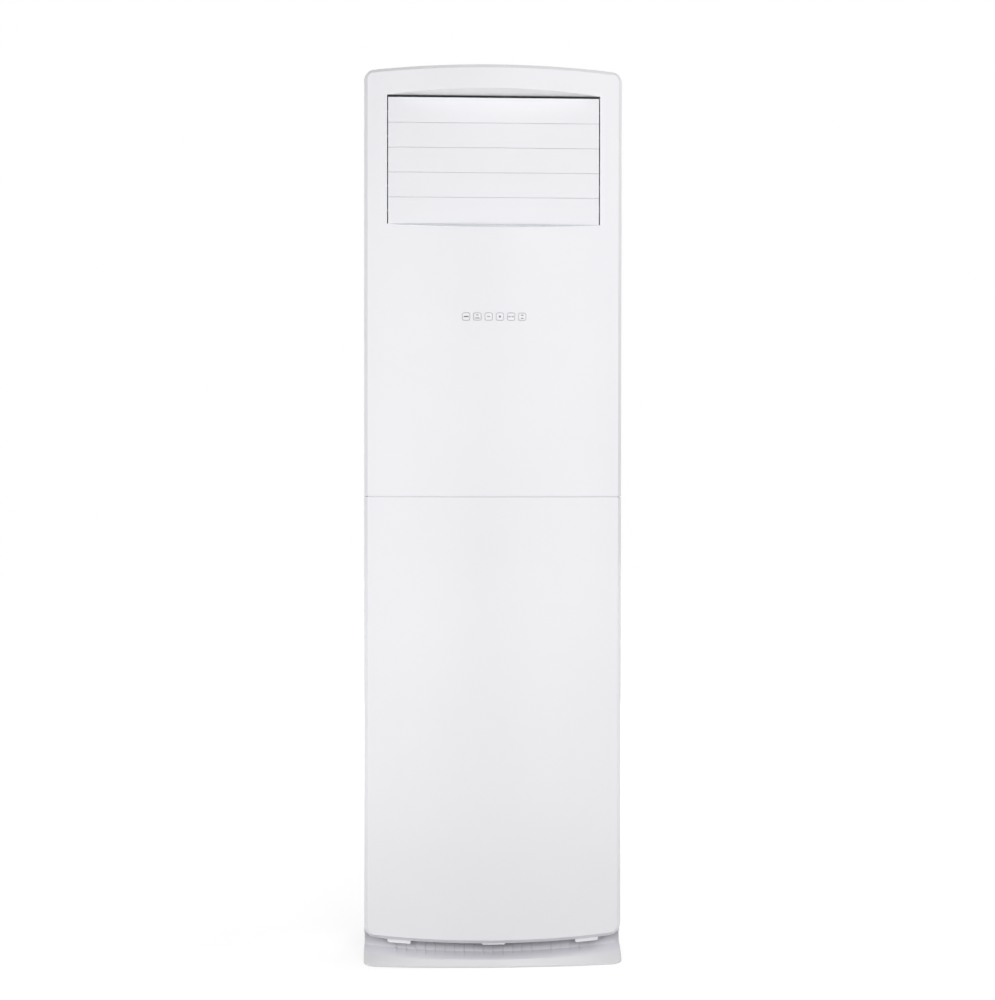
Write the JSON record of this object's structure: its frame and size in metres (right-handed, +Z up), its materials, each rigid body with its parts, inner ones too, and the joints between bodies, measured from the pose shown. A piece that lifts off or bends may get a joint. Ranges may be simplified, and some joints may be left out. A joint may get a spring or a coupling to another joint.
{
  "type": "floor standing air conditioner",
  "caption": "Tall free-standing cabinet air conditioner with a bowed front, a slatted outlet near the top, side intakes, a row of keys, and a fan and coil inside.",
  "frame": {"origin": "on the floor, in the middle of the footprint", "axes": "+Z up, the bowed front faces -Y, +X is to the right seen from the front"},
  "size_m": [0.5098, 0.32, 1.75],
  "materials": {
    "white_moulding": "glossy moulded cool white",
    "key_plastic": "glossy moulded cool white",
    "white_steel": "white powder coat, fine orange peel",
    "base_plastic": "satin moulded off-white",
    "zinc_steel": "zinc coated sheet, faint spangle",
    "grey_plastic": "satin moulded light grey",
    "filter_mesh": "dark woven mesh in a moulded frame",
    "scroll_plastic": "satin moulded off-white",
    "wheel_plastic": "satin moulded dark grey",
    "shaft_steel": "turned steel",
    "motor_paint": "black enamel",
    "motor_steel": "nickel plated can",
    "fin_aluminium": "mill finish fins",
    "copper": "drawn copper tube",
    "foam_tray": "satin moulded off-white",
    "foam_liner": "moulded bead foam",
    "grey_hose": "smooth soft grey",
    "dark_rubber": "matte black rubber",
    "black_nylon": "satin black nylon",
    "screw_steel": "zinc plated",
    "circuit_board": "green solder mask",
    "terminal_plastic": "moulded beige thermoset"
  },
  "bodies": {
    "root": {"base_plinth": "base_plastic", "bottom_pan": "zinc_steel", "cable_gland": "black_nylon", "coil_cover": "foam_tray", "control_box": "zinc_steel", "control_box_cover": "zinc_steel", "cross_beam": "zinc_steel", "drain_hose": "grey_hose", "drain_tray": "foam_tray", "duct_liner": "foam_liner", "evaporator_core": "fin_aluminium", "evaporator_end_plates": "zinc_steel", "fan_motor": "motor_paint", "front_panel_upper": "white_moulding", "gas_pipe": "copper", "key_board": "circuit_board", "left_side_panel": "white_steel", "liquid_pipe": "copper", "main_board": "circuit_board", "motor_mount": "zinc_steel", "outlet_frame": "grey_plastic", "partition_plate": "zinc_steel", "pipe_grommet": "dark_rubber", "rear_panel": "white_steel", "rear_screws": "screw_steel", "return_bends": "copper", "right_side_panel": "white_steel", "scroll_front": "scroll_plastic", "scroll_rear": "scroll_plastic", "slat_motor": "motor_steel", "terminal_block": "terminal_plastic", "top_cover": "white_moulding", "vane_motor": "motor_steel", "wall_bracket": "zinc_steel"},
    "slat_1": {"slat_1": "white_moulding"},
    "slat_2": {"slat_2": "white_moulding"},
    "slat_3": {"slat_3": "white_moulding"},
    "slat_4": {"slat_4": "white_moulding"},
    "slat_5": {"slat_5": "white_moulding"},
    "slat_link": {"slat_link": "grey_plastic"},
    "vane_1": {"vane_1": "grey_plastic"},
    "vane_2": {"vane_2": "grey_plastic"},
    "vane_3": {"vane_3": "grey_plastic"},
    "vane_4": {"vane_4": "grey_plastic"},
    "vane_5": {"vane_5": "grey_plastic"},
    "vane_6": {"vane_6": "grey_plastic"},
    "vane_link": {"vane_link": "grey_plastic"},
    "fan": {"fan_wheel": "wheel_plastic", "fan_shaft": "shaft_steel"},
    "key_1": {"key_1": "key_plastic"},
    "key_2": {"key_2": "key_plastic"},
    "key_3": {"key_3": "key_plastic"},
    "key_4": {"key_4": "key_plastic"},
    "key_5": {"key_5": "key_plastic"},
    "key_6": {"key_6": "key_plastic"},
    "lower_front": {"front_panel_lower": "white_moulding"},
    "left_intake": {"left_intake_grille": "white_moulding", "left_intake_filter": "filter_mesh"},
    "right_intake": {"right_intake_grille": "white_moulding", "right_intake_filter": "filter_mesh"}
  },
  "joints": [
    {"name": "slat_1_tilt", "type": "hinge", "parent": "root", "child": "slat_1", "pos_m": [0, -0.107, 1.4737], "axis": [-1, 0, 0], "range_deg": [0, 80]},
    {"name": "slat_2_tilt", "type": "hinge", "parent": "root", "child": "slat_2", "pos_m": [0, -0.107, 1.5221], "axis": [-1, 0, 0], "range_deg": [0, 80]},
    {"name": "slat_3_tilt", "type": "hinge", "parent": "root", "child": "slat_3", "pos_m": [0, -0.107, 1.5705], "axis": [-1, 0, 0], "range_deg": [0, 80]},
    {"name": "slat_4_tilt", "type": "hinge", "parent": "root", "child": "slat_4", "pos_m": [0, -0.107, 1.6189], "axis": [-1, 0, 0], "range_deg": [0, 80]},
    {"name": "slat_5_tilt", "type": "hinge", "parent": "root", "child": "slat_5", "pos_m": [0, -0.107, 1.6673], "axis": [-1, 0, 0], "range_deg": [0, 80]},
    {"name": "slat_link_swing", "type": "hinge", "parent": "slat_3", "child": "slat_link", "pos_m": [-0.2161, -0.093, 1.5705], "axis": [-1, 0, 0], "range_deg": [-80, 0]},
    {"name": "vane_1_swing", "type": "hinge", "parent": "root", "child": "vane_1", "pos_m": [-0.145, -0.058, 1.57], "axis": [0, 0, 1], "range_deg": [-38, 38]},
    {"name": "vane_2_swing", "type": "hinge", "parent": "root", "child": "vane_2", "pos_m": [-0.087, -0.058, 1.57], "axis": [0, 0, 1], "range_deg": [-38, 38]},
    {"name": "vane_3_swing", "type": "hinge", "parent": "root", "child": "vane_3", "pos_m": [-0.029, -0.058, 1.57], "axis": [0, 0, 1], "range_deg": [-38, 38]},
    {"name": "vane_4_swing", "type": "hinge", "parent": "root", "child": "vane_4", "pos_m": [0.029, -0.058, 1.57], "axis": [0, 0, 1], "range_deg": [-38, 38]},
    {"name": "vane_5_swing", "type": "hinge", "parent": "root", "child": "vane_5", "pos_m": [0.087, -0.058, 1.57], "axis": [0, 0, 1], "range_deg": [-38, 38]},
    {"name": "vane_6_swing", "type": "hinge", "parent": "root", "child": "vane_6", "pos_m": [0.145, -0.058, 1.57], "axis": [0, 0, 1], "range_deg": [-38, 38]},
    {"name": "vane_link_swing", "type": "hinge", "parent": "vane_4", "child": "vane_link", "pos_m": [0.029, -0.042, 1.4513], "axis": [0, 0, 1], "range_deg": [-38, 38]},
    {"name": "fan_spin", "type": "hinge", "parent": "root", "child": "fan", "pos_m": [0, 0.07, 0.4], "axis": [0, 1, 0], "continuous": true},
    {"name": "key_1_press", "type": "slide", "parent": "root", "child": "key_1", "axis": [0, 1, 0], "range_m": [0, 0.0008], "stiffness_N_per_m": 1500},
    {"name": "key_2_press", "type": "slide", "parent": "root", "child": "key_2", "axis": [0, 1, 0], "range_m": [0, 0.0008], "stiffness_N_per_m": 1500},
    {"name": "key_3_press", "type": "slide", "parent": "root", "child": "key_3", "axis": [0, 1, 0], "range_m": [0, 0.0008], "stiffness_N_per_m": 1500},
    {"name": "key_4_press", "type": "slide", "parent": "root", "child": "key_4", "axis": [0, 1, 0], "range_m": [0, 0.0008], "stiffness_N_per_m": 1500},
    {"name": "key_5_press", "type": "slide", "parent": "root", "child": "key_5", "axis": [0, 1, 0], "range_m": [0, 0.0008], "stiffness_N_per_m": 1500},
    {"name": "key_6_press", "type": "slide", "parent": "root", "child": "key_6", "axis": [0, 1, 0], "range_m": [0, 0.0008], "stiffness_N_per_m": 1500},
    {"name": "lower_front_pull", "type": "slide", "parent": "root", "child": "lower_front", "axis": [0, -1, 0], "range_m": [0, 0.06]},
    {"name": "left_intake_pull", "type": "slide", "parent": "root", "child": "left_intake", "axis": [-1, 0, 0], "range_m": [0, 0.06]},
    {"name": "right_intake_pull", "type": "slide", "parent": "root", "child": "right_intake", "axis": [1, 0, 0], "range_m": [0, 0.06]}
  ],
  "couplings": [
    {"joint": "slat_1_tilt", "follows": "slat_3_tilt", "ratio": 1},
    {"joint": "slat_2_tilt", "follows": "slat_3_tilt", "ratio": 1},
    {"joint": "slat_4_tilt", "follows": "slat_3_tilt", "ratio": 1},
    {"joint": "slat_5_tilt", "follows": "slat_3_tilt", "ratio": 1},
    {"joint": "slat_link_swing", "follows": "slat_3_tilt", "ratio": -1},
    {"joint": "vane_1_swing", "follows": "vane_4_swing", "ratio": 1},
    {"joint": "vane_2_swing", "follows": "vane_4_swing", "ratio": 1},
    {"joint": "vane_3_swing", "follows": "vane_4_swing", "ratio": 1},
    {"joint": "vane_5_swing", "follows": "vane_4_swing", "ratio": 1},
    {"joint": "vane_6_swing", "follows": "vane_4_swing", "ratio": 1},
    {"joint": "vane_link_swing", "follows": "vane_4_swing", "ratio": -1}
  ]
}
